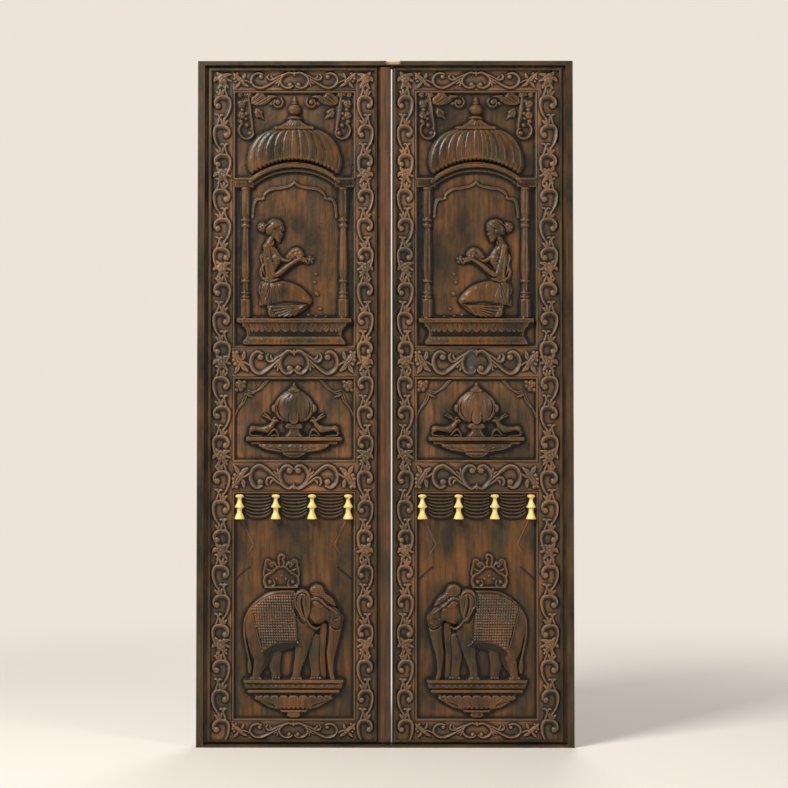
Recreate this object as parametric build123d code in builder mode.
import os
from math import sqrt

from build123d import *

os.makedirs("parts", exist_ok=True)

# Door, in millimetres. Z is up, X runs across the door, and the carved face looks along -Y.
door_width = 1168.0
door_height = 2130.0

# Frame
lip_width = 21.5
lip_thickness = 14.0
jamb_thickness = 14.0
head_height = 13.0
sill_height = 8.0

# Gaps round the leaves
side_gap = 3.0
top_gap = 3.0
bottom_gap = 3.0
meeting_gap = 4.5
lip_gap = 2.0

# Leaf boards
leaf_thickness = 38.0
hinge_stile_width = 90.0
meeting_stile_width = 69.5
top_rail_height = 72.0
upper_cross_height = 88.0
lower_cross_height = 89.0
bottom_rail_height = 66.5
middle_panel_height = 267.5
lower_panel_height = 712.0

# Joints between boards and panels
tenon_length = 40.0
tenon_thickness = 12.0
tenon_shoulder = 12.0
groove_depth = 9.0
panel_thickness = 14.0
panel_drop = 10.0
wood_clearance = 0.2
bead_width = 8.0
bead_height = 8.5
bead_round = 2.5

# Mouldings on the face
moulding_width = 10.0
moulding_height = 9.0
moulding_round = 7.0
moulding_inset = 1.5
moulding_side_inset = 14.5
strip_width = 34.0
strip_proud = 1.0
strip_end_gap = 1.0
strip_draft = 10.0

# Broken place in the front edge of the head
chip_start = 4.0
chip_length = 41.0
chip_height = 9.0
chip_depth = 9.0

# Hinges
hinge_height = 100.0
hinge_plate_width = 28.0
hinge_plate_thickness = 2.0
hinge_end_distance = 239.0
knuckle_radius = 5.0
knuckle_standoff = 5.5
knuckle_count = 5
knuckle_gap = 0.3
pin_radius = 2.5
pin_clearance = 0.05
pin_head_radius = 4.0
pin_head_height = 2.0
pin_tail = 2.0
screw_radius = 1.9
screw_head_radius = 3.6
screw_clearance = 0.1
frame_screw_length = 12.0
leaf_screw_length = 26.0
screw_rows = 4
screw_row_pitch = 24.0
screw_edge = 8.0

# Fixing holes through the jambs
fixing_radius = 3.25
fixing_head_radius = 6.5
fixing_count = 4
fixing_pitch = 600.0
fixing_first = 165.0

# Carving heights above the wood that it stands on
border_relief = 6.0
leaf_relief = 7.5
pedestal_relief = 20.0
foot_relief = 17.0
bowl_relief = 15.0
neck_relief = 10.0
cornice_relief = 17.0
under_bead_relief = 12.0
arch_relief = 5.0
dome_ground_relief = 6.0
dome_edge_relief = 8.0
dome_relief = 22.0
petal_relief = 4.0
petal_radius = 5.0
figure_low_relief = 7.0
figure_middle_relief = 10.0
figure_high_relief = 14.0
face_relief = 15.0
bun_relief = 9.0
globe_relief = 22.0
deer_relief = 11.0
cloud_relief = 4.0
elephant_far_relief = 8.0
elephant_body_relief = 11.0
elephant_near_relief = 13.0
elephant_head_relief = 14.0
elephant_ear_relief = 15.0
crown_relief = 9.0
crease_relief = 1.2
curtain_back = 3.0
curtain_fold = 5.0
ball_sides = 16
petal_sides = 8
blob_edges = 4

# Bells
bells_per_leaf = 4
bell_length = 76.0
bell_radius = 15.2
bell_set_out = 7.0
bell_side_gap = 0.85
bell_top_drop = 1.0

# Sizes that the ornament is drawn at, so that it follows the boards
drawn_field_width = 65.5
drawn_rail_height = 88.0
drawn_panel_width = 370.0
drawn_upper_height = 808.0
drawn_middle_height = 267.5
drawn_lower_height = 712.0
drawn_column_height = 410.0

# Where things lie, worked out from the sizes above
overall_depth = (strip_proud + lip_thickness + lip_gap + leaf_thickness
                 + knuckle_standoff + knuckle_radius)
lip_front_y = -overall_depth / 2 + strip_proud
face_y = lip_front_y + lip_thickness + lip_gap
back_y = face_y + leaf_thickness
ground_y = face_y + panel_drop
panel_back_y = ground_y + panel_thickness
tenon_front_y = ground_y + (panel_thickness - tenon_thickness) / 2
half_width = door_width / 2
rebate_x = half_width - jamb_thickness
leaf_edge_x = rebate_x - side_gap
opening_outer_x = leaf_edge_x - hinge_stile_width
right_leaf_inner_x = strip_width / 2 + meeting_gap
opening_inner_x = right_leaf_inner_x + meeting_stile_width
opening_width = opening_outer_x - opening_inner_x
panel_centre_x = (opening_outer_x + opening_inner_x) / 2
leaf_bottom = sill_height + bottom_gap
leaf_top = door_height - head_height - top_gap
lower_bottom = leaf_bottom + bottom_rail_height
lower_top = lower_bottom + lower_panel_height
middle_bottom = lower_top + lower_cross_height
middle_top = middle_bottom + middle_panel_height
upper_bottom = middle_top + upper_cross_height
upper_top = leaf_top - top_rail_height
openings = ((lower_bottom, lower_top), (middle_bottom, middle_top), (upper_bottom, upper_top))
field_outer_x = leaf_edge_x - moulding_side_inset - moulding_width
field_inner_x = right_leaf_inner_x + moulding_inset + moulding_width
hinge_field_width = field_outer_x - opening_outer_x
meeting_field_width = opening_inner_x - field_inner_x
panel_scale = (opening_width - 2 * bead_width) / drawn_panel_width
upper_up = (upper_top - upper_bottom) / drawn_upper_height
middle_up = middle_panel_height / drawn_middle_height
lower_up = lower_panel_height / drawn_lower_height
bell_reach = opening_width / 2 - wood_clearance - bead_width - bell_side_gap - bell_radius
bell_pitch = 2 * bell_reach / (bells_per_leaf - 1)
pin_x = leaf_edge_x + side_gap / 2
pin_y = back_y + knuckle_standoff
hinge_levels = (leaf_bottom + hinge_end_distance, (leaf_bottom + leaf_top) / 2,
                leaf_top - hinge_end_distance)
strip_thickness = lip_gap + lip_thickness + strip_proud


# Plane that looks out of the carved face, with local X along the door and local Y up
def facing(y, x=0.0, z=0.0):
    return Plane(origin=(x, y, z), x_dir=(1, 0, 0), z_dir=(0, -1, 0))


# Box between two corners, made in whichever part block calls it
def slab(x_span, y_span, z_span, mode=Mode.ADD):
    spans = (x_span, y_span, z_span)
    middle = tuple((low + high) / 2 for low, high in spans)
    with Locations(middle):
        Box(*(high - low for low, high in spans), mode=mode)


# Faceted band along a smooth line, whose width changes evenly from one given width to the next
def ribbon(points, widths, steps=8):
    spine = Spline(*points)
    left, right = [], []
    for step in range(steps + 1):
        share = step / steps
        place = share * (len(widths) - 1)
        first = min(int(place), len(widths) - 2)
        half = (widths[first] + (widths[first + 1] - widths[first]) * (place - first)) / 2
        here = spine @ share
        along = spine % share
        left.append((here.X - along.Y * half, here.Y + along.X * half))
        right.append((here.X + along.Y * half, here.Y - along.X * half))
    return plate(*left, *right[::-1])


# Closed rounded outline through the points, in short straight edges
def blob(*points):
    edge = Spline(*points, periodic=True)
    count = blob_edges * len(points)
    return plate(*(edge @ (turn / count) for turn in range(count)))


# Round spot of carving, such as the ball at the end of a scroll
def ball(x, y, radius):
    with BuildSketch() as spot:
        with Locations((x, y)):
            RegularPolygon(radius, ball_sides)
    return spot.sketch


# Closed outline with straight edges
def plate(*points):
    with BuildSketch() as outline:
        with BuildLine():
            Polyline(*points, close=True)
        make_face()
    return outline.sketch


# Several outlines as one
def joined(*shapes):
    with BuildSketch() as whole:
        add(shapes)
    return whole.sketch


# An outline and its mirror image about the vertical
def paired(shape):
    with BuildSketch() as whole:
        add(shape)
        mirror(shape, about=Plane.YZ)
    return whole.sketch


# The mirror image alone, about the vertical or the horizontal
def flipped(shape, about=Plane.YZ):
    with BuildSketch() as whole:
        mirror(shape, about=about)
    return whole.sketch


# Points moved out by one factor across and another up
def stretched(points, across, up=1.0):
    return [(x * across, y * up) for x, y in points]


# One scroll of the running border: an arch over a ball on the left, and a stem down the right
scroll_pitch = 91.5
border_period = 292.8
scrolls_in_period = 3
flower_drop = 226.0
first_scroll_drop = 109.4
last_scroll_room = 30.0
field_margin = 1.0


def border_scroll(size):
    stem = ribbon(stretched([(2, -60), (15, -44), (24, -17), (18, 5), (0, 13), (-17, 6), (-21, -7),
                             (-13, -15)], size), [3, 6, 8, 9, 9, 8, 7, 5])
    shoot = ribbon(stretched([(22, 2), (14, 24), (5, 40), (11, 54), (20, 50)], size), [4, 6, 6, 6, 3])
    bud = plate(*stretched([(-18, 24), (-12, 28), (-7, 25), (-2, 31), (1, 24), (6, 20), (-1, 15),
                            (-13, 17)], size))
    return joined(stem, ball(-12 * size, -11, 7), shoot, bud)


def border_flower(size):
    petal = plate(*stretched([(0, 0), (9, 7), (19, 5), (25, -2), (17, -6), (8, -5)], size, size))
    with BuildSketch() as flower:
        with PolarLocations(0, 5, start_angle=18):
            add(petal)
        RegularPolygon(8 * size, ball_sides)
    return flower.sketch


# The whole border of a stile, from its top downwards, for a field of the given width
def border_run(run_height, field_width):
    size = field_width / drawn_field_width
    scroll = border_scroll(size)
    turned = flipped(scroll)
    flower = border_flower(size)
    field_end = moulding_inset + moulding_width + field_margin
    lefts, rights, flowers = [], [], [(0, -first_scroll_drop / 3)]
    period = 0
    while True:
        top = first_scroll_drop + period * border_period
        for turn in range(scrolls_in_period):
            drop = top + turn * scroll_pitch
            if drop + last_scroll_room < run_height:
                (rights if (period + turn) % 2 else lefts).append((0, -drop))
        if top + border_period + last_scroll_room > run_height:
            break
        flowers.append((0, -top - flower_drop))
        period += 1
    with BuildSketch() as run:
        with Locations(*lefts):
            add(scroll)
        with Locations(*rights):
            add(turned)
        with Locations(*flowers):
            add(flower)
        with Locations((0, -run_height / 2)):
            Rectangle(field_width, run_height - 2 * field_end, mode=Mode.INTERSECT)
    return run.sketch


# The ornament of a rail, half of it drawn and then paired, for a rail field of the given height
def rail_run(field_height, way_up=1):
    wide = opening_width / (drawn_panel_width + 2 * bead_width)
    tall = way_up * field_height / drawn_rail_height
    ball_size = min(wide, abs(tall))

    def band(points, widths, steps=8):
        return ribbon(stretched(points, wide, tall), [width * ball_size for width in widths], steps)

    def leaf(*points):
        return plate(*stretched(points, wide, tall))

    arch = band([(0, 33), (20, 37), (38, 23), (44, 2), (38, -19), (22, -31), (8, -26)],
                [9, 12, 10, 8, 8, 8, 5], 10)
    trumpet = band([(34, 26), (50, 10), (64, 2), (75, 9)], [4, 8, 11, 9])
    spray = leaf((40, -10), (52, -8), (66, -4), (60, -16), (58, -28), (48, -20))
    wave = band([(56, -3), (84, -24), (110, -33), (130, -20), (135, 2), (124, 26), (107, 33), (98, 24)],
                [6, 9, 10, 9, 8, 8, 7, 5], 10)
    bunch = leaf((136, -14), (150, -28), (164, -22), (181, -30), (184, -14), (196, 4), (190, 24),
                 (176, 16), (166, 30), (154, 18), (160, 0))
    balls = [ball(x * wide, y * tall, radius * ball_size)
             for x, y, radius in ((14, -16, 8.5), (74, 10, 8), (106, 21, 8.5))]
    with BuildSketch() as run:
        add(paired(joined(arch, trumpet, spray, wave, bunch, *balls)))
        Rectangle(opening_width - 2 * field_margin, field_height, mode=Mode.INTERSECT)
    return run.sketch


# Screw with a countersunk head, point down, head at the origin
def screw_solid(length, grow=0.0):
    head_depth = screw_head_radius - screw_radius
    point = 2 * screw_radius
    with BuildPart() as screw:
        with BuildSketch(Plane.XZ):
            with BuildLine():
                Polyline((0, 0), (screw_head_radius + grow, 0), (screw_radius + grow, -head_depth),
                         (screw_radius + grow, point - length - grow), (0, -length - grow), close=True)
            make_face()
        revolve(axis=Axis.Z)
    return screw.part


# Places of the screws of a leaf's plates: up each plate, alternately near and far from the knuckle
def screw_places(x, turn):
    places = []
    for level in hinge_levels:
        for row in range(screw_rows):
            z = level + (row - (screw_rows - 1) / 2) * screw_row_pitch
            reach = screw_edge if row % 2 else hinge_plate_width - screw_edge
            places.append(Location((x, back_y - reach, z), (0, turn, 0)))
    return places


frame_screw = screw_solid(frame_screw_length)
frame_screw_space = screw_solid(frame_screw_length, screw_clearance)
leaf_screw = screw_solid(leaf_screw_length)
leaf_screw_space = screw_solid(leaf_screw_length, screw_clearance)
frame_screw_places = screw_places(-rebate_x, 90)
leaf_screw_places = screw_places(-leaf_edge_x, -90)


# Frame: left jamb, an L in plan with the lip in front, recessed for its hinge plates
with BuildPart() as frame_left_jamb:
    with BuildSketch(Plane.XY):
        with BuildLine():
            Polyline((-half_width, lip_front_y), (-half_width + lip_width, lip_front_y),
                     (-half_width + lip_width, lip_front_y + lip_thickness),
                     (-rebate_x, lip_front_y + lip_thickness), (-rebate_x, back_y),
                     (-half_width, back_y), close=True)
        make_face()
    extrude(amount=door_height)
    for level in hinge_levels:
        slab((-rebate_x - hinge_plate_thickness, -rebate_x), (back_y - hinge_plate_width, back_y),
             (level - hinge_height / 2, level + hinge_height / 2), mode=Mode.SUBTRACT)
    with Locations(*frame_screw_places):
        add(frame_screw_space, mode=Mode.SUBTRACT)
    with Locations(*(Location((-rebate_x, face_y + leaf_thickness / 2, fixing_first + turn * fixing_pitch),
                              (0, 90, 0)) for turn in range(fixing_count))):
        CounterSinkHole(radius=fixing_radius, counter_sink_radius=fixing_head_radius, depth=jamb_thickness)

with BuildPart() as frame_right_jamb:
    mirror(frame_left_jamb.part, about=Plane.YZ)

# Head, between the jambs, with the stub of the centre strip and the broken front edge
with BuildPart() as frame_head:
    slab((-half_width + lip_width, half_width - lip_width), (lip_front_y, lip_front_y + lip_thickness),
         (door_height - head_height, door_height))
    slab((-rebate_x, rebate_x), (lip_front_y + lip_thickness, back_y),
         (door_height - head_height, door_height))
    slab((-strip_width / 2, strip_width / 2), (lip_front_y - strip_proud, lip_front_y),
         (door_height - head_height, door_height))
    with BuildSketch(facing(lip_front_y + chip_depth)):
        with BuildLine():
            Polyline((chip_start, door_height), (chip_start + 0.07 * chip_length, door_height - chip_height),
                     (chip_start + chip_length * 0.55, door_height - chip_height * 0.8),
                     (chip_start + chip_length - chip_height, door_height - chip_height),
                     (chip_start + chip_length, door_height), close=True)
        make_face()
    extrude(amount=chip_depth + strip_proud, mode=Mode.SUBTRACT)

with BuildPart() as frame_sill:
    slab((-half_width + lip_width, half_width - lip_width), (lip_front_y, lip_front_y + lip_thickness),
         (0, sill_height))
    slab((-rebate_x, rebate_x), (lip_front_y + lip_thickness, back_y), (0, sill_height))


# Grooves and mortises that a stile needs, cut in whichever part block calls it
def stile_cuts(shoulder_x, into):
    for low, high in openings:
        slab(sorted((shoulder_x, shoulder_x + into * groove_depth)),
             (ground_y - wood_clearance, panel_back_y + wood_clearance),
             (low - groove_depth, high + groove_depth), mode=Mode.SUBTRACT)
    for low, high in rail_spans:
        slab(sorted((shoulder_x, shoulder_x + into * (tenon_length + wood_clearance))),
             (tenon_front_y - wood_clearance, tenon_front_y + tenon_thickness + wood_clearance),
             (low + tenon_shoulder - wood_clearance, high - tenon_shoulder + wood_clearance),
             mode=Mode.SUBTRACT)


rail_spans = ((leaf_bottom, lower_bottom), (lower_top, middle_bottom), (middle_top, upper_bottom),
              (upper_top, leaf_top))

hinge_border = border_run(leaf_top - leaf_bottom, hinge_field_width)
flipped_meeting_border = border_run(leaf_top - leaf_bottom, meeting_field_width)
meeting_border = flipped(flipped_meeting_border)
field_top = leaf_top - moulding_inset - moulding_width
field_bottom = leaf_bottom + moulding_inset + moulding_width
top_carving = rail_run(field_top - upper_top)
upper_cross_carving = rail_run(upper_cross_height)
lower_cross_carving = rail_run(lower_cross_height, way_up=-1)
bottom_carving = rail_run(lower_bottom - field_bottom)

# Left leaf: hinge stile with its running scrolls
with BuildPart() as left_hinge_stile:
    slab((-leaf_edge_x, -opening_outer_x), (face_y, back_y), (leaf_bottom, leaf_top))
    stile_cuts(-opening_outer_x, -1)
    for level in hinge_levels:
        slab((-leaf_edge_x, -leaf_edge_x + hinge_plate_thickness), (back_y - hinge_plate_width, back_y),
             (level - hinge_height / 2, level + hinge_height / 2), mode=Mode.SUBTRACT)
    with Locations(*leaf_screw_places):
        add(leaf_screw_space, mode=Mode.SUBTRACT)
    with BuildSketch(facing(face_y, -(field_outer_x + opening_outer_x) / 2, leaf_top)):
        add(hinge_border)
    extrude(amount=border_relief)

# Meeting stile of the left leaf, wide enough to carry the centre strip
with BuildPart() as left_meeting_stile:
    slab((-opening_inner_x, strip_width / 2), (face_y, back_y), (leaf_bottom, leaf_top))
    stile_cuts(-opening_inner_x, 1)
    with BuildSketch(facing(face_y, -(field_inner_x + opening_inner_x) / 2, leaf_top)):
        add(meeting_border)
    extrude(amount=border_relief)

# Meeting stile of the right leaf, the same but narrower
with BuildPart() as right_meeting_stile:
    slab((right_leaf_inner_x, opening_inner_x), (face_y, back_y), (leaf_bottom, leaf_top))
    stile_cuts(opening_inner_x, -1)
    with BuildSketch(facing(face_y, (field_inner_x + opening_inner_x) / 2, leaf_top)):
        add(flipped_meeting_border)
    extrude(amount=border_relief)

# Centre strip, with leaning sides and a pointed foot between the mitred mouldings
with BuildPart() as centre_strip:
    strip_foot = leaf_bottom + moulding_inset
    strip_head = leaf_top - strip_end_gap
    with BuildSketch(facing(face_y)):
        with BuildLine():
            Polyline((0, strip_foot), (strip_width / 2, strip_foot + strip_width / 2),
                     (strip_width / 2, strip_head), (-strip_width / 2, strip_head),
                     (-strip_width / 2, strip_foot + strip_width / 2), close=True)
        make_face()
    extrude(amount=strip_thickness, taper=strip_draft)


# Rail board with a tenon at each end, in whichever part block calls it
def rail_board(low, high):
    slab((-opening_outer_x, -opening_inner_x), (face_y, back_y), (low, high))
    slab((-opening_outer_x - tenon_length, -opening_inner_x + tenon_length),
         (tenon_front_y, tenon_front_y + tenon_thickness), (low + tenon_shoulder, high - tenon_shoulder))


# Groove along one edge of a rail, at the given level and on the given side of it
def rail_groove(level, into):
    slab((-opening_outer_x, -opening_inner_x), (ground_y - wood_clearance, panel_back_y + wood_clearance),
         sorted((level, level + into * groove_depth)), mode=Mode.SUBTRACT)


with BuildPart() as left_top_rail:
    rail_board(upper_top, leaf_top)
    rail_groove(upper_top, 1)
    with BuildSketch(facing(face_y, -panel_centre_x, (upper_top + field_top) / 2)):
        add(top_carving)
    extrude(amount=border_relief)

with BuildPart() as left_upper_cross_rail:
    rail_board(middle_top, upper_bottom)
    rail_groove(middle_top, 1)
    rail_groove(upper_bottom, -1)
    with BuildSketch(facing(face_y, -panel_centre_x, (middle_top + upper_bottom) / 2)):
        add(upper_cross_carving)
    extrude(amount=border_relief)

with BuildPart() as left_lower_cross_rail:
    rail_board(lower_top, middle_bottom)
    rail_groove(lower_top, 1)
    rail_groove(middle_bottom, -1)
    with BuildSketch(facing(face_y, -panel_centre_x, (lower_top + middle_bottom) / 2)):
        add(lower_cross_carving)
    extrude(amount=border_relief)

with BuildPart() as left_bottom_rail:
    rail_board(leaf_bottom, lower_bottom)
    rail_groove(lower_bottom, -1)
    with BuildSketch(facing(face_y, -panel_centre_x, (field_bottom + lower_bottom) / 2)):
        add(bottom_carving)
    extrude(amount=border_relief)

# Planted moulding round the leaf, mitred at its corners and rounded on its outer edge
with BuildPart() as left_edge_moulding:
    ring_outer = (leaf_edge_x - moulding_side_inset) - (right_leaf_inner_x + moulding_inset)
    ring_tall = leaf_top - leaf_bottom - 2 * moulding_inset
    ring_x = -(leaf_edge_x - moulding_side_inset + right_leaf_inner_x + moulding_inset) / 2
    with BuildSketch(facing(face_y, ring_x, (leaf_top + leaf_bottom) / 2)):
        Rectangle(ring_outer, ring_tall)
        Rectangle(ring_outer - 2 * moulding_width, ring_tall - 2 * moulding_width, mode=Mode.SUBTRACT)
    extrude(amount=moulding_height)
    front_edges = left_edge_moulding.faces().sort_by(Axis.Y)[0].edges().group_by(SortBy.LENGTH)
    fillet(front_edges[1] + front_edges[3],
           radius=min(moulding_round, 0.8 * min(moulding_width, moulding_height)))


# Panel board with its bead, in whichever part block calls it
def panel_board(low, high):
    reach = groove_depth - wood_clearance
    slab((-opening_outer_x - reach, -opening_inner_x + reach), (ground_y, panel_back_y),
         (low - reach, high + reach))
    wide = opening_width - 2 * wood_clearance
    tall = high - low - 2 * wood_clearance
    with BuildPart(mode=Mode.PRIVATE) as bead:
        with BuildSketch(facing(ground_y, -panel_centre_x, (low + high) / 2)):
            Rectangle(wide, tall)
            Rectangle(wide - 2 * bead_width, tall - 2 * bead_width, mode=Mode.SUBTRACT)
        extrude(amount=bead_height)
        fillet(bead.faces().sort_by(Axis.Y)[0].edges(), radius=min(bead_round, 0.4 * bead_width))
    add(bead.part)


# Places on a panel: u across from its middle, towards the meeting edge, and v up from an anchor.
# The first value is how much taller the panel is than its drawing.
def spot(taller, u, v):
    return (u * panel_scale, v * taller)


def spots(taller, *pairs):
    return [spot(taller, u, v) for u, v in pairs]


# Solid cap of a ball, as wide as the radius and as high as the rise, standing on the given plane
def dome(x, y, z, radius, rise):
    ball_radius = (radius * radius + rise * rise) / (2 * rise)
    with BuildPart(mode=Mode.PRIVATE) as cap:
        with Locations((x, y + ball_radius - rise, z)):
            Sphere(ball_radius)
        split(bisect_by=facing(y), keep=Keep.TOP)
    return cap.part


# Front half of a turned shape, whose outline is (radius, height) up from its foot
def half_turning(x, y, z, outline):
    with BuildPart(mode=Mode.PRIVATE) as turned:
        with BuildSketch(facing(y, x, z)):
            with BuildLine():
                Polyline((0, outline[0][1]), *outline, (0, outline[-1][1]), close=True)
            make_face()
        revolve(axis=Axis((x, y, z), (0, 0, 1)), revolution_arc=360)
        split(bisect_by=facing(y), keep=Keep.TOP)
    return turned.part


# Moulded block in front view, from (half width, height) pairs up one side
def tiered(taller, *side):
    right = spots(taller, *side)
    return plate(*right, *((-u, v) for u, v in reversed(right)))


# Upper panel: pedestal, columns, arched cornice, ribbed dome, finial, corner leaves and figure
pedestal_top = 93.0 * upper_up
cornice_drop = 305.0 * upper_up
column_offset = 152.5 * panel_scale
cornice_z = upper_top - cornice_drop
column_foot_z = upper_bottom + pedestal_top
dome_ribs = 11
dome_steps = 12
dome_top_v = 181.0
dome_foot_v = 85.0
dome_foot_fall = 46.0
dome_widest = 148.5
dome_widest_share = 0.26
dome_foot_half = 133.0
dome_top_half = 61.0


# Half width of the dome at a share of its height: widest a little above its foot
def dome_half_width(share):
    if share < dome_widest_share:
        below = 1 - share / dome_widest_share
        return dome_widest - (dome_widest - dome_foot_half) * below ** 2
    above = (share - dome_widest_share) / (1 - dome_widest_share)
    return dome_top_half + (dome_widest - dome_top_half) * sqrt(1 - above ** 2)


# Place on the dome, at a share of its half width and a share of its height above its bowed lower edge
def dome_point(across, share):
    foot = dome_foot_v - dome_foot_fall * across ** 2
    return spot(upper_up, across * dome_half_width(share), foot + (dome_top_v - foot) * share)


# One rib of the dome between two shares of its half width, with closer steps towards its top
def dome_lobe(start, end):
    shares = [1 - (1 - step / dome_steps) ** 2 for step in range(dome_steps + 1)]
    return plate(*(dome_point(start, share) for share in shares),
                 *(dome_point(end, share) for share in reversed(shares)))


pedestal_slab = tiered(upper_up, (179.5, 80.7), (179.5, 93))
pedestal_bowl = tiered(upper_up, (148.6, 48.4), (152, 60), (159, 72), (168, 80.7))
pedestal_neck = tiered(upper_up, (148.6, 35.6), (148.6, 48.4))
pedestal_foot = tiered(upper_up, (162.5, 12), (160, 20), (152, 30), (148.6, 35.6))
cornice_arch = joined(
    ribbon(spots(upper_up, (-138, 12), (-105, 36), (-55, 56), (0, 62.5), (55, 56), (105, 36), (138, 12)),
           [23, 22, 23]),
    plate(*spots(upper_up, (126.5, 0), (188, 0), (188, 30), (126.5, 30))),
    plate(*spots(upper_up, (-126.5, 0), (-188, 0), (-188, 30), (-126.5, 30))))
dome_under_bead = ribbon(spots(upper_up, (-130, 34), (-100, 55), (-50, 73), (0, 79), (50, 73), (100, 55),
                               (130, 34)), [5, 6, 5])
dome_back = dome_lobe(-1, 1)
dome_lobes = []
for rib in range(dome_ribs):
    start, end = (2 * side / dome_ribs - 1 for side in (rib + 0.08, rib + 0.92))
    swell = sqrt(1 - ((start + end) / 2) ** 2)
    dome_lobes.append((dome_lobe(start, end), dome_edge_relief + (dome_relief - dome_edge_relief) * swell))
finial_rim = tiered(upper_up, (61.5, 180.5), (61.5, 190.5))
finial_skirt = tiered(upper_up, (48.5, 190.5), (36, 198), (24, 206), (17, 214))
finial_outline = [(17, 214), (21.5, 216), (21.5, 220), (7, 223), (9, 228), (16, 236), (19.5, 246), (15, 256),
                  (6, 261), (9, 264), (9, 266), (5, 268), (7, 275), (4, 282), (1, 287)]
cusped_arch = paired(joined(
    ribbon(spots(upper_up, (-129, -90), (-127, -62), (-117, -40), (-98, -36)), [4, 5, 5]),
    ribbon(spots(upper_up, (-98, -36), (-92, -20), (-72, -7), (-45, -3), (-22, 2)), [5, 5, 5]),
    ribbon(spots(upper_up, (-22, 2), (-12, 6), (0, 16)), [5, 5, 5])))
column_outline = [(15.5, 0), (15.5, 60), (11, 62), (14, 66), (14, 72), (11, 76), (14, 80), (11, 84),
                  (9.5, 112), (14, 116), (14, 121), (10, 124), (13, 150), (12.5, 190), (9.8, 285),
                  (13, 289), (13, 296), (10, 300), (14, 304), (14, 312), (11, 316), (13.5, 330), (13.5, 405),
                  (15.5, 410)]
corner_leaves = joined(
    ribbon(spots(upper_up, (-150, -62), (-138, -44), (-112, -38), (-84, -46), (-60, -36), (-42, -46),
                 (-52, -60)),
           [9, 13, 16, 11, 8, 7, 6]),
    ball(*spot(upper_up, -52, -52), 11),
    ribbon(spots(upper_up, (-150, -58), (-158, -90), (-148, -118), (-158, -136), (-150, -154),
                 (-138, -144)),
           [9, 14, 15, 10, 8, 6]),
    ball(*spot(upper_up, -150, -141), 9),
    blob(*spots(upper_up, (-146, -58), (-124, -58), (-102, -78), (-94, -100), (-116, -92), (-134, -76))),
    ball(*spot(upper_up, -163, -35), 9))
figure_low = [
    blob(*spots(upper_up, (-66, 46), (-20, 48), (41, 44), (34, 28), (14, 14), (-8, 3), (-60, 3), (-84, 20))),
    ribbon(spots(upper_up, (-96, 200), (-104, 170), (-98, 142), (-104, 118)), [8, 13, 12, 10])]
figure_middle = [
    blob(*spots(upper_up, (-90, 228), (-72, 238), (-58, 216), (-45, 186), (-56, 152), (-56, 118), (-78, 116),
                (-84, 150), (-96, 190))),
    ribbon(spots(upper_up, (-76, 246), (-70, 228)), [17, 20], steps=3),
    blob(*spots(upper_up, (-108, 104), (-84, 116), (-64, 92), (-62, 54), (-80, 40), (-104, 46),
                (-96, 74)))]
figure_high = [
    blob(*spots(upper_up, (-78, 110), (-44, 116), (-8, 110), (28, 92), (55, 68), (54, 50), (30, 44),
                (-30, 46), (-76, 48))),
    ribbon(spots(upper_up, (-87, 224), (-78, 178), (-62, 140), (-36, 156), (-4, 180)), [16, 18, 16, 13, 10]),
    blob(*spots(upper_up, (-22, 180), (-12, 202), (10, 218), (26, 206), (38, 186), (60, 170),
                (20, 172)))]
petal_places = ((68, 140), (63, 113), (70, 77), (82, 25), (44, 10), (70, 8), (98, 6))

with BuildPart() as left_upper_panel:
    panel_board(upper_bottom, upper_top)
    for outline, height in ((pedestal_slab, pedestal_relief), (pedestal_bowl, bowl_relief),
                            (pedestal_neck, neck_relief), (pedestal_foot, foot_relief)):
        with BuildSketch(facing(ground_y, -panel_centre_x, upper_bottom)):
            add(outline)
        extrude(amount=height)
    for outline, height in ((cornice_arch, cornice_relief), (dome_under_bead, under_bead_relief),
                            (cusped_arch, arch_relief), (finial_rim, pedestal_relief),
                            (finial_skirt, bowl_relief), (dome_back, dome_ground_relief), *dome_lobes):
        with BuildSketch(facing(ground_y, -panel_centre_x, cornice_z)):
            add(outline)
        extrude(amount=height)
    add(half_turning(-panel_centre_x, ground_y, cornice_z,
                     [(r * panel_scale, v * upper_up) for r, v in finial_outline]))
    column_height = cornice_z - column_foot_z
    column_points = [(r * panel_scale, v * column_height / drawn_column_height) for r, v in column_outline]
    for side in (-1, 1):
        add(half_turning(-panel_centre_x + side * column_offset, ground_y, column_foot_z, column_points))
    with BuildSketch(facing(ground_y, -panel_centre_x, upper_top)):
        add(paired(corner_leaves))
    extrude(amount=leaf_relief)
    for shapes, height in ((figure_low, figure_low_relief), (figure_middle, figure_middle_relief),
                           (figure_high, figure_high_relief)):
        with BuildSketch(facing(ground_y, -panel_centre_x, column_foot_z)):
            add(shapes)
        extrude(amount=height)
    with BuildSketch(facing(ground_y, -panel_centre_x, column_foot_z)):
        with Locations(*spots(upper_up, *petal_places)):
            RegularPolygon(petal_radius, petal_sides)
    extrude(amount=petal_relief)
    for place, radius, rise in (((-62, 278), 25, face_relief), ((-98, 283), 13, bun_relief)):
        across, up = spot(upper_up, *place)
        add(dome(-panel_centre_x + across, ground_y, column_foot_z + up, radius * panel_scale, rise))

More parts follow.
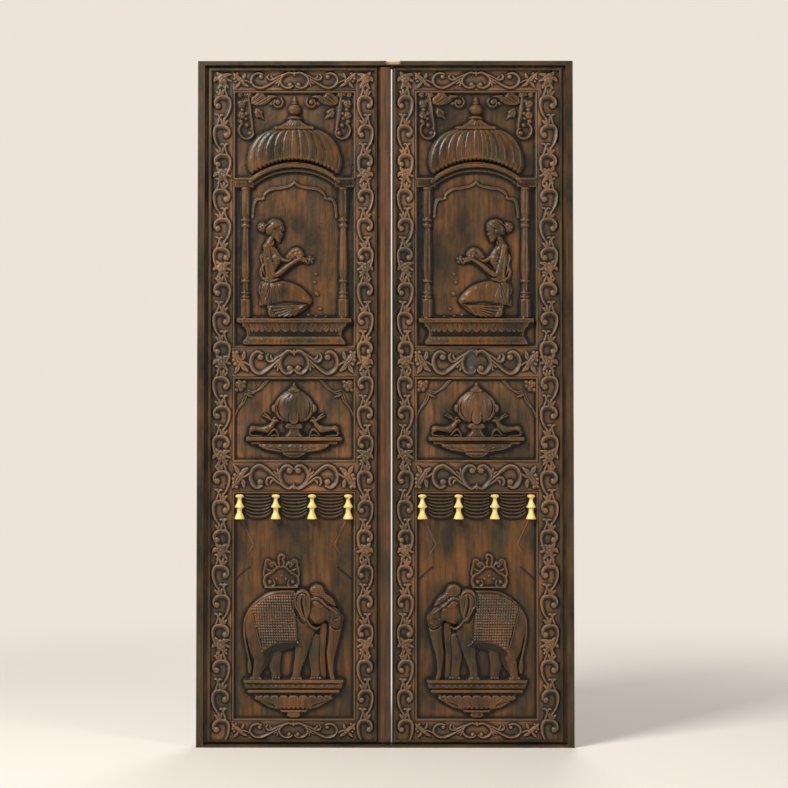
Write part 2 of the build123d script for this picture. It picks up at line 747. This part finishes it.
# Middle panel: globe vessel on a bowl, between two kneeling deer
vessel_up = 172.6
vessel_radius = 54.0
vessel_parts = (
    (tiered(middle_up, (148, 67), (148, 79.3)), pedestal_relief),
    (tiered(middle_up, (135, 57.5), (135, 65.5)), neck_relief),
    (tiered(middle_up, (37, 14), (37, 22), (28, 31.5)), under_bead_relief),
    (tiered(middle_up, (30, 31.5), (82, 38), (108, 47), (114, 57)), bowl_relief),
    (tiered(middle_up, (44, 79.3), (40, 84), (26, 96), (22, 108), (26, 122)), bowl_relief),
    (tiered(middle_up, (16, 222), (12, 231), (5, 240), (3, 251)), neck_relief),
    (paired(joined(
        ball(*spot(middle_up, 58, vessel_up), 14),
        ribbon(spots(middle_up, (86, 256), (112, 232), (138, 222)), [2, 4, 2]),
        ribbon(spots(middle_up, (152, 214), (164, 186), (182, 158)), [2, 4, 2]),
        ball(*spot(middle_up, 164, 246), 9), ball(*spot(middle_up, 150, 240), 6),
        ball(*spot(middle_up, 158, 230), 6))), cloud_relief),
    (paired(joined(
        blob(*spots(middle_up, (-142, 112), (-112, 124), (-84, 120), (-74, 132), (-56, 132), (-50, 120),
                    (-66, 112), (-70, 98), (-100, 94), (-134, 96))),
        ribbon(spots(middle_up, (-74, 134), (-84, 146), (-99, 154)), [4, 4, 2], steps=4),
        ribbon(spots(middle_up, (-128, 100), (-118, 84), (-96, 82)), [12, 9, 7]),
        ribbon(spots(middle_up, (-78, 100), (-74, 84), (-54, 82)), [11, 8, 7]))), deer_relief))

with BuildPart() as left_middle_panel:
    panel_board(middle_bottom, middle_top)
    for outline, height in vessel_parts:
        with BuildSketch(facing(ground_y, -panel_centre_x, middle_bottom)):
            add(outline)
        extrude(amount=height)
    across, up = spot(middle_up, 0, vessel_up)
    add(dome(-panel_centre_x + across, ground_y, middle_bottom + up, vessel_radius * panel_scale,
             globe_relief))

# Lower panel: swagged curtain, crown and elephant on its platform
platform_top = 128.0
elephant_foot = platform_top - 0.5
curtain_top = -9.0
curtain_bottom = -85.0
curtain_margin = 13.0
folds_in_swag = 5
fold_pitch = 12.0
first_fold_drop = 6.0
first_sag = 9.0
sag_growth = 1.5
platform_parts = (
    (tiered(lower_up, (155, 119.5), (155, platform_top)), pedestal_relief),
    (tiered(lower_up, (150, 102.6), (150, 119.5)), bowl_relief),
    (tiered(lower_up, (143, 90.5), (143, 99.6)), cornice_relief),
    (tiered(lower_up, (45, 35), (80, 44), (110, 62), (125, 85.4), (128, 90.5)), bowl_relief),
    (tiered(lower_up, (41, 28), (41, 34.5)), bowl_relief),
    (tiered(lower_up, (14, 12), (22, 18), (20, 28)), under_bead_relief))
elephant_far = [
    ribbon(spots(lower_up, (-75, 90), (-62, 50), (-54, 0)), [40, 28, 28], steps=5),
    ribbon(spots(lower_up, (62, 130), (66, 60), (68, 0)), [36, 26, 27], steps=5),
    ribbon(spots(lower_up, (-150, 195), (-160, 145), (-150, 75), (-147, 35)), [8, 7, 6, 11])]
elephant_body = [
    blob(*spots(lower_up, (-156, 175), (-140, 222), (-105, 254), (-50, 271), (6, 274), (50, 258), (72, 200),
                (60, 130), (30, 100), (-10, 102), (-60, 88), (-100, 84), (-140, 105)))]
elephant_near = [
    ribbon(spots(lower_up, (-122, 130), (-130, 70), (-121, 0)), [54, 36, 32], steps=5),
    ribbon(spots(lower_up, (32, 120), (20, 60), (9, 0)), [46, 33, 27], steps=5),
    blob(*spots(lower_up, (-128, 220), (-70, 250), (6, 272), (12, 219), (10, 160), (20, 117), (-18, 122),
                (-60, 117), (-95, 94), (-112, 150)))]
elephant_head = [
    blob(*spots(lower_up, (44, 250), (75, 270), (101, 260), (130, 228), (150, 190), (152, 165), (134, 148),
                (108, 142), (78, 150), (52, 176))),
    ribbon(spots(lower_up, (134, 172), (131, 120), (126, 70), (116, 24), (127, 8)), [34, 26, 20, 14, 11])]
elephant_ear = [
    blob(*spots(lower_up, (0, 262), (25, 278), (50, 266), (55, 230), (48, 200), (33, 180), (20, 205),
                (2, 235))),
    ribbon(spots(lower_up, (48, 182), (60, 163), (78, 158)), [9, 7, 3], steps=4)]
crown_u = -39.0
crown_scrolls = (
    (((6, 291), (22, 306), (40, 300), (48, 316), (34, 326)), [8, 9, 8, 7, 5]),
    (((4, 318), (14, 340), (34, 346), (42, 362), (28, 370)), [8, 9, 8, 6, 5]),
    (((52, 291), (54, 318), (46, 340)), [7, 8, 4]))
crown = [
    plate(*spots(lower_up, (-92, 284), (14, 284), (14, 291), (-92, 291))),
    ribbon(spots(lower_up, (crown_u, 291), (crown_u, 340), (crown_u, 391)), [14, 9, 5])]
for side in (-1, 1):
    for path, widths in crown_scrolls:
        crown.append(ribbon(spots(lower_up, *((crown_u + side * u, v) for u, v in path)), widths))
creases = paired(joined(
    ribbon(spots(lower_up, (-166, 623), (-140, 580), (-129, 543), (-149, 516)), [3, 3, 3]),
    ribbon(spots(lower_up, (-140, 475), (-162, 458), (-189, 431)), [3, 3, 3])))
folds = []
for swag in range(bells_per_leaf - 1):
    left_x = -bell_reach + swag * bell_pitch + bell_radius
    right_x = left_x + bell_pitch - 2 * bell_radius
    for fold in range(folds_in_swag):
        high = curtain_top - first_fold_drop - fold_pitch * fold
        low = high - first_sag - sag_growth * fold
        folds.append(ribbon([(left_x, high), ((left_x + right_x) / 2, low), (right_x, high)], [5, 8, 5],
                            steps=5))
curtain = plate((-bell_reach - curtain_margin, curtain_bottom), (bell_reach + curtain_margin, curtain_bottom),
                (bell_reach + curtain_margin, curtain_top), (-bell_reach - curtain_margin, curtain_top))

with BuildPart() as left_lower_panel:
    panel_board(lower_bottom, lower_top)
    for outline, height in platform_parts:
        with BuildSketch(facing(ground_y, -panel_centre_x, lower_bottom)):
            add(outline)
        extrude(amount=height)
    with BuildSketch(facing(ground_y, -panel_centre_x, lower_bottom)):
        add(creases)
    extrude(amount=crease_relief)
    foot_z = lower_bottom + elephant_foot * lower_up
    for shapes, height in ((elephant_far, elephant_far_relief), (elephant_body, elephant_body_relief),
                           (elephant_near, elephant_near_relief), (elephant_head, elephant_head_relief),
                           (elephant_ear, elephant_ear_relief), (crown, crown_relief)):
        with BuildSketch(facing(ground_y, -panel_centre_x, foot_z)):
            add(shapes)
        extrude(amount=height)
    with BuildSketch(facing(ground_y, -panel_centre_x, lower_top)):
        add(curtain)
    extrude(amount=curtain_back)
    with BuildSketch(facing(ground_y - curtain_back, -panel_centre_x, lower_top)):
        add(folds)
    extrude(amount=curtain_fold)

# Brass double bells, turned, with a flat back that seats on the curtain
bell_outline = [(6, 0), (12, -3), (12.7, -7), (9, -10), (5, -13), (6, -20), (9, -28), (14.5, -37),
                (14.5, -40), (8, -42), (6.8, -48), (8, -56), (12, -66), (bell_radius, 3 - bell_length),
                (bell_radius, -bell_length)]
bell_seat_y = ground_y - curtain_back
bell_top_z = lower_top + curtain_top - bell_top_drop
bells = []
for turn in range(bells_per_leaf):
    bell_x = -panel_centre_x + turn * bell_pitch - bell_reach
    with BuildPart() as bell:
        with BuildSketch(facing(bell_seat_y - bell_set_out, bell_x, bell_top_z)):
            with BuildLine():
                Polyline((0, 0), *bell_outline, (0, -bell_length), close=True)
            make_face()
        revolve(axis=Axis((bell_x, bell_seat_y - bell_set_out, bell_top_z), (0, 0, 1)))
        split(bisect_by=facing(bell_seat_y), keep=Keep.TOP)
    bells.append(bell)


# Hinge plate with its knuckles. The frame's plate has the odd knuckles, the leaf's the even ones.
def knuckle_spans(level, first):
    pitch = hinge_height / knuckle_count
    for place in range(first, knuckle_count, 2):
        low = level - hinge_height / 2 + place * pitch
        yield (low + (knuckle_gap / 2 if place else 0),
               low + pitch - (knuckle_gap / 2 if place < knuckle_count - 1 else 0))


def hinge_plate(level, near_x, far_x, first, screw_space, places):
    with BuildPart() as plate_part:
        slab((near_x, far_x), (back_y - hinge_plate_width, back_y),
             (level - hinge_height / 2, level + hinge_height / 2))
        for low, high in knuckle_spans(level, first):
            slab((near_x, far_x), (back_y, pin_y), (low, high))
            with Locations((-pin_x, pin_y, (low + high) / 2)):
                Cylinder(knuckle_radius, high - low)
        with Locations((-pin_x, pin_y, level)):
            Cylinder(pin_radius + pin_clearance, hinge_height, mode=Mode.SUBTRACT)
        with Locations(*(place for place in places if abs(place.position.Z - level) < hinge_height / 2)):
            add(screw_space, mode=Mode.SUBTRACT)
    return plate_part


frame_plates, leaf_plates, pins = [], [], []
for level in hinge_levels:
    frame_plates.append(hinge_plate(level, -rebate_x - hinge_plate_thickness, -rebate_x, 0,
                                    frame_screw_space, frame_screw_places))
    leaf_plates.append(hinge_plate(level, -leaf_edge_x, -leaf_edge_x + hinge_plate_thickness, 1,
                                   leaf_screw_space, leaf_screw_places))
    with BuildPart() as pin:
        with Locations((-pin_x, pin_y, level - pin_tail / 2)):
            Cylinder(pin_radius, hinge_height + pin_tail)
        with Locations((-pin_x, pin_y, level + hinge_height / 2 + pin_head_height / 2)):
            Cylinder(pin_head_radius, pin_head_height)
    pins.append(pin)

with BuildPart() as left_frame_hinge_screws:
    with Locations(*frame_screw_places):
        add(frame_screw)
with BuildPart() as left_leaf_hinge_screws:
    with Locations(*leaf_screw_places):
        add(leaf_screw)

# Every piece by its name. The right-hand pieces that are alike are mirror images.
pieces = {"frame_left_jamb": frame_left_jamb.part, "frame_right_jamb": frame_right_jamb.part,
          "frame_head": frame_head.part, "frame_sill": frame_sill.part,
          "left_meeting_stile": left_meeting_stile.part, "right_meeting_stile": right_meeting_stile.part,
          "centre_strip": centre_strip.part}
alike = {"hinge_stile": left_hinge_stile, "top_rail": left_top_rail,
         "upper_cross_rail": left_upper_cross_rail, "lower_cross_rail": left_lower_cross_rail,
         "bottom_rail": left_bottom_rail, "edge_moulding": left_edge_moulding,
         "upper_panel": left_upper_panel, "middle_panel": left_middle_panel, "lower_panel": left_lower_panel,
         "frame_hinge_screws": left_frame_hinge_screws, "leaf_hinge_screws": left_leaf_hinge_screws}
for turn, bell in enumerate(bells):
    alike[f"bell_{turn + 1}"] = bell
for name, plates in (("frame_hinge", frame_plates), ("leaf_hinge", leaf_plates), ("hinge_pin", pins)):
    for place, piece in zip(("bottom", "middle", "top"), plates):
        alike[f"{place}_{name}"] = piece
for name, piece in alike.items():
    pieces[f"left_{name}"] = piece.part
    pieces[f"right_{name}"] = mirror(piece.part, about=Plane.YZ)

for name, piece in pieces.items():
    piece.label = name
    export_step(piece, f"parts/{name}.step")
